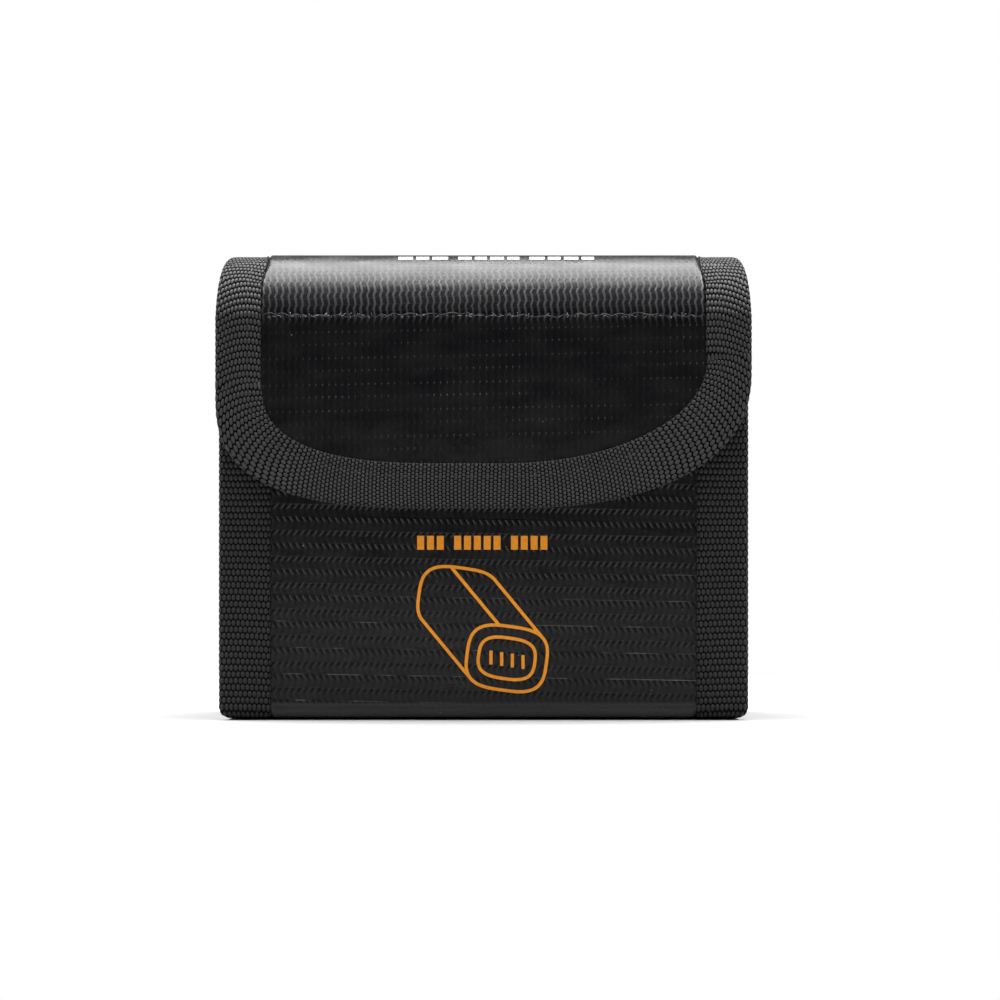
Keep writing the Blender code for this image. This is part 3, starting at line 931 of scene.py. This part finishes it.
def make_side_tapes(side, word):
    """The tape down the front wall and that up the back, each with its row of stitches."""
    for name, first, last, material, keep, nodes in (
        ("front", 0.2 * MM, S_BASE, TAPE, on_pouch, (f"side_binding_{word}",)),
        ("back", S_BASE, S_TOP, BRIGHT_TAPE, over_back, ()),
    ):
        keep(side_tape(f"side_tape_{name}_{word}", side, first, last, material), "binding_tape", *nodes)
        s = np.linspace(first + 0.8 * MM, last, 120)
        x = np.full_like(s, side * (BODY_HALF - BODY_TAPE + STITCH_INSET))
        keep(stitches(f"side_stitches_{name}_{word}", on_strip, np.stack([x, s], axis=1)), "binding_tape")


def make_flap_tape():
    """The tape round the flap with its row of stitches."""
    piece, line = flap_tape()
    over_front(piece, "binding_tape", "flap_binding", "top_binding_left", "top_binding_right")
    over_front(stitches("flap_stitches", on_strip, line), "binding_tape")


def make_front_hem():
    """The tape over the front wall's mouth edge."""
    run = np.arange(-HEM_HALF, HEM_HALF, TAPE_STEP)
    edge = np.stack([run, np.full_like(run, -TAPE_RISE)], axis=1)
    hem = hem_tape("front_hem_tape", on_strip, edge, (0.0, 1.0), run, flip=True)
    on_pouch(hem, "binding_tape", "front_hem")


# ---------------------------------------------------------------- closure, print and crease


def closure_patch(name, node, material, hooked):
    """One half of the closure: hooks that face forward, or a brushed pile that faces back at them."""
    low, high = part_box(node)
    x, z = np.meshgrid(np.arange(low.x, high.x, CLOSURE_STEP), np.arange(low.z, high.z, CLOSURE_STEP))
    border = np.minimum(np.minimum(x - x.min(), x.max() - x), np.minimum(z - z.min(), z.max() - z))
    hooks = np.abs(np.sin(np.pi * x / MM) * np.sin(np.pi * z / (0.9 * MM))) ** 2
    pile = 0.5 + 0.5 * RANDOM.random(x.shape)
    grown = np.clip(border / (0.6 * MM), 0, 1) * (0.35 + 0.65 * (hooks if hooked else pile))
    base, tip = (high.y, low.y) if hooked else (low.y, high.y)
    y = base + (tip - base) * np.where(border <= 0, 0.0, 0.35 + 0.65 * grown)
    flat = np.stack([x, z], axis=-1) / MM
    return grid_piece(name, np.stack([x, y, z], axis=-1), flat, material, flip=not hooked)


def make_closure():
    """The hook patch on the front wall and the loop patch inside the flap."""
    on_pouch(closure_patch("hook_patch", "hook_strip", HOOKS, True), "hook_tape", "hook_strip")
    on_flap_front(closure_patch("loop_patch", "loop_strip", LOOPS, False), "loop_tape", "loop_strip")


def ribbon(line, width, height):
    """A flat stroke along a line of the flat pattern, with square ends."""
    dense, _ = evenly(line, min(0.4 * MM, along_line(line)[-1] / 2))
    heading = headings(dense)
    aside = width * np.linspace(-0.5, 0.5, 4)
    return on_strip(dense[:, :1] - heading[:, 1:] * aside, dense[:, 1:] + heading[:, :1] * aside, height)


def block_outline(centre, half_long, half_high, power, tilt=-8):
    """A rounded box's outline in millimetres, as a tilted superellipse."""
    turn = np.linspace(0, 2 * np.pi, 73)
    across = half_long * np.sign(np.cos(turn)) * np.abs(np.cos(turn)) ** (2 / power)
    up = half_high * np.sign(np.sin(turn)) * np.abs(np.sin(turn)) ** (2 / power)
    lean = math.radians(tilt)
    x = centre[0] + across * math.cos(lean) - up * math.sin(lean)
    return np.stack([x, centre[1] + across * math.sin(lean) + up * math.cos(lean)], axis=1)


def swept(outline, shift):
    """The silhouette of an outline swept along a shift."""
    slope = np.gradient(outline, axis=0)
    facing = slope[:, 1] * shift[0] - slope[:, 0] * shift[1]
    return outline + np.where(facing > 0, 1.0, 0.0)[:, None] * np.array(shift)


def pack_drawing():
    """Strokes (x, z) of a plain battery pack seen at a slant, in millimetres on the front wall."""
    centre = (5.0, 13.0)
    end = block_outline(centre, 8.6, 6.9, 3.2)
    rim = block_outline(centre, 6.1, 4.4, 3.0)
    length = (-10.4, 12.6)
    ridge_x, ridge_z = 3.4, 20.1
    ridge = np.array([(ridge_x, ridge_z), (ridge_x + length[0], ridge_z + length[1])])
    strokes = [swept(end, length), end, rim, ridge]
    for number in range(4):
        x = 1.6 + 2.3 * number
        strokes.append(np.array([(x, 14.9 - 0.14 * x), (x, 11.9 - 0.14 * x)]))
    return strokes


def bars(widths, gap, start, low, high, to_s):
    """A row of plain upright bars in millimetres, as (middle line, width). A negative width is left blank."""
    row, x = [], start
    for width in widths:
        if width > 0:
            middle = (x + width / 2) * MM
            row.append((np.array([(middle, to_s(low * MM)), (middle, to_s(high * MM))]), width * MM))
        x += abs(width) + gap
    return row


def make_front_print():
    """The pack's drawing, under a row of blocks. Each stroke lies a little over the last one."""
    strokes = []
    for number, line in enumerate(pack_drawing()):
        pattern = np.stack([line[:, 0] * MM, s_of_front(line[:, 1] * MM)], axis=1)
        strokes.append(ribbon(pattern, 0.70 * MM, (0.10 + 0.004 * number) * MM))
    widths = (*[1.5] * 3, -1.0, *[1.5] * 5, -1.0, *[1.5] * 4)
    for line, width in bars(widths, 0.62, -14.3, 36.4, 39.4, s_of_front):
        strokes.append(ribbon(line, width, 0.10 * MM))
    on_pouch(joined_grids("front_print", strokes, ORANGE_INK), "coated_cloth")


def past_roll(distance):
    """The distance along the strip of a distance past the start of the roll."""
    return S_ROLL + distance


def make_top_print():
    """A row of blocks across the roll."""
    widths = (3.2, 2.8, 3.4, -0.8, 2.9, 2.6, 3.0, 2.6, -0.8, 3.3, 2.8, 3.1, 2.7)
    blocks = [ribbon(line, width, 0.06 * MM) for line, width in bars(widths, 0.7, -18.5, 4.0, 5.8, past_roll)]
    over_front(joined_grids("top_print", blocks, WHITE_INK, flip=True), "coated_cloth")


def broken_fibre(x, s):
    """A short bent fibre that starts near (x, s), heads any way and arches off the cloth."""
    heading = RANDOM.uniform(0, 2 * np.pi)
    length = RANDOM.uniform(0.3, 1.0) * MM
    bend = RANDOM.uniform(-1.2, 1.2)
    radius = RANDOM.uniform(0.03, 0.06) * MM
    arch = RANDOM.uniform(0.07, 0.35) * MM
    t = np.linspace(0, 1, 6)
    turn = heading + bend * t
    steps = np.stack([np.cos(turn), 0.7 * np.sin(turn)], axis=1) * length / len(t)
    line = (x, s) + np.cumsum(steps, axis=0)
    return strand(on_strip, line, 0.20 * MM + arch * np.sin(np.pi * t), radius, sides=4)


def make_crease():
    """The crease across the flap, marked by wear: a thin raised line, with broken glass fibres standing out
    of it.
    """
    x = np.linspace(-47.6 * MM, 47.6 * MM, 900)
    wander = 0.22 * MM * np.sin(x / (6.3 * MM)) + 0.12 * MM * np.sin(x / (2.1 * MM) + 1)
    wander += 0.16 * MM * np.sin(x / (0.55 * MM) + 2 * np.sin(x / (3.7 * MM)))
    radius = 0.09 * MM * (0.8 + 0.5 * np.sin(x / (0.9 * MM)) * np.sin(x / (4.7 * MM)))
    ridge = strand(on_strip, np.stack([x, S_CREASE + 0.2 * MM + wander], axis=1), 0.10 * MM, radius)
    over_front(joined_grids("crease_line", [ridge], CREASE_THREAD), "coated_cloth")
    fibres = [broken_fibre(RANDOM.uniform(-47, 47) * MM, S_CREASE + 0.3 * MM) for _ in range(110)]
    over_front(joined_grids("crease_fibres", fibres, GLASS_FIBRE), "coated_cloth")


# ---------------------------------------------------------------- the cut sizes


def declare_sheets():
    """The size that each panel was cut to, and the tapes along its edges, worked out but not kept. All are
    sewn in along their edges.
    """
    flap_length = S_FLAP_END - S_TOP
    strip = 2 * (BODY_HALF - EDGE_INSET)
    panels = {
        "front_cloth": (strip, S_BASE, ("side_tape_front_left", "side_tape_front_right", "front_hem_tape")),
        "back_cloth": (strip, S_TOP - S_BASE, ("side_tape_back_left", "side_tape_back_right")),
        "flap_cloth": (2 * (FLAP_HALF - EDGE_INSET), flap_length, ("flap_tape",)),
        "front_lining": (2 * GUSSET_X, S_BASE, ()),
        "back_lining": (2 * GUSSET_X, S_TOP - S_BASE, ()),
        "flap_lining": (2 * (FLAP_HALF - EDGE_INSET), flap_length, ()),
    }
    for word in ("left", "right"):
        size = (BACK_Y - FRONT_Y - 2 * GUSSET_RIM, MOUTH_Z - BASE_Z - GUSSET_RIM)
        panels[f"gusset_cloth_{word}"] = (*size, (f"gusset_hem_tape_{word}",))
        panels[f"gusset_inside_{word}"] = (*size, ())
    for name, (width, length, borders) in panels.items():
        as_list(borders)


# ---------------------------------------------------------------- floor, light and camera


def make_floor():
    """A matt pale disc, just under the bag."""
    below = LOW.z - 0.3 * MM
    bpy.ops.mesh.primitive_circle_add(vertices=96, radius=0.30, fill_type="NGON", location=(0, 0, below))
    floor = bpy.context.object
    floor.name = "floor"
    n = Nodes("floor")
    n.shader.inputs["Base Color"].default_value = (0.42, 0.42, 0.42, 1)
    n.shader.inputs["Roughness"].default_value = 1.0
    n.shader.inputs["Specular IOR Level"].default_value = 0.0
    floor.data.materials.append(n.material)
    floor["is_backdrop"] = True


def softbox(name, place, aim, size, radiance):
    """An area light. Radiance is its brightness as the camera would see it, where 1 is white."""
    data = bpy.data.lights.new(name, "AREA")
    data.shape = "RECTANGLE"
    data.size, data.size_y = size
    data.energy = radiance * math.pi * size[0] * size[1]
    light = bpy.data.objects.new(name, data)
    light.location = place
    light.rotation_euler = (Vector(aim) - Vector(place)).to_track_quat("-Z", "Y").to_euler()
    bpy.context.scene.collection.objects.link(light)


def make_light():
    """A wide softbox overhead, a weak one in front, and a backdrop that is white but casts little light."""
    softbox("overhead", (0, 0.18, 0.90), (0, 0.18, 0), (1.7, 0.90), 10.5)
    softbox("front_fill", (0, -0.67, 0.82), (0, 0, 0.05), (1.6, 0.5), 1.0)
    world = bpy.data.worlds.new("studio")
    bpy.context.scene.world = world
    world.use_nodes = True
    tree = world.node_tree
    backdrop = tree.nodes["Background"]
    backdrop.inputs["Color"].default_value = (1, 1, 1, 1)
    rays = tree.nodes.new("ShaderNodeLightPath")
    strength = tree.nodes.new("ShaderNodeMapRange")
    strength.inputs["To Min"].default_value = 0.075
    strength.inputs["To Max"].default_value = 1.0
    tree.links.new(rays.outputs["Is Camera Ray"], strength.inputs["Value"])
    tree.links.new(strength.outputs[0], backdrop.inputs["Strength"])


def make_camera():
    """Straight on from the front, near the height of the bag's middle, with a long lens."""
    distance, height, aside = 1.2, 47.1 * MM, 3.54 * MM
    view_width = 0.21455
    sensor = 36
    data = bpy.data.cameras.new("camera")
    data.sensor_width = sensor
    data.lens = sensor * distance / view_width
    camera = bpy.data.objects.new("camera", data)
    camera.location = (aside, LOW.y - distance, height)
    camera.rotation_euler = (math.pi / 2, 0, 0)
    bpy.context.scene.collection.objects.link(camera)
    bpy.context.scene.camera = camera


# ---------------------------------------------------------------- the whole

make_cloth()
for side, word in ((-1, "left"), (1, "right")):
    make_gusset(side, word)
    make_side_tapes(side, word)
make_flap_tape()
make_front_hem()
make_closure()
make_crease()
make_front_print()
make_top_print()
declare_sheets()
make_floor()
make_light()
make_camera()
bpy.context.scene.view_settings.view_transform = "Standard"

boxes = {"cad": CAD_BOX, "visual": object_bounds()}
{name: [list(corner) for corner in box] for name, box in boxes.items()}
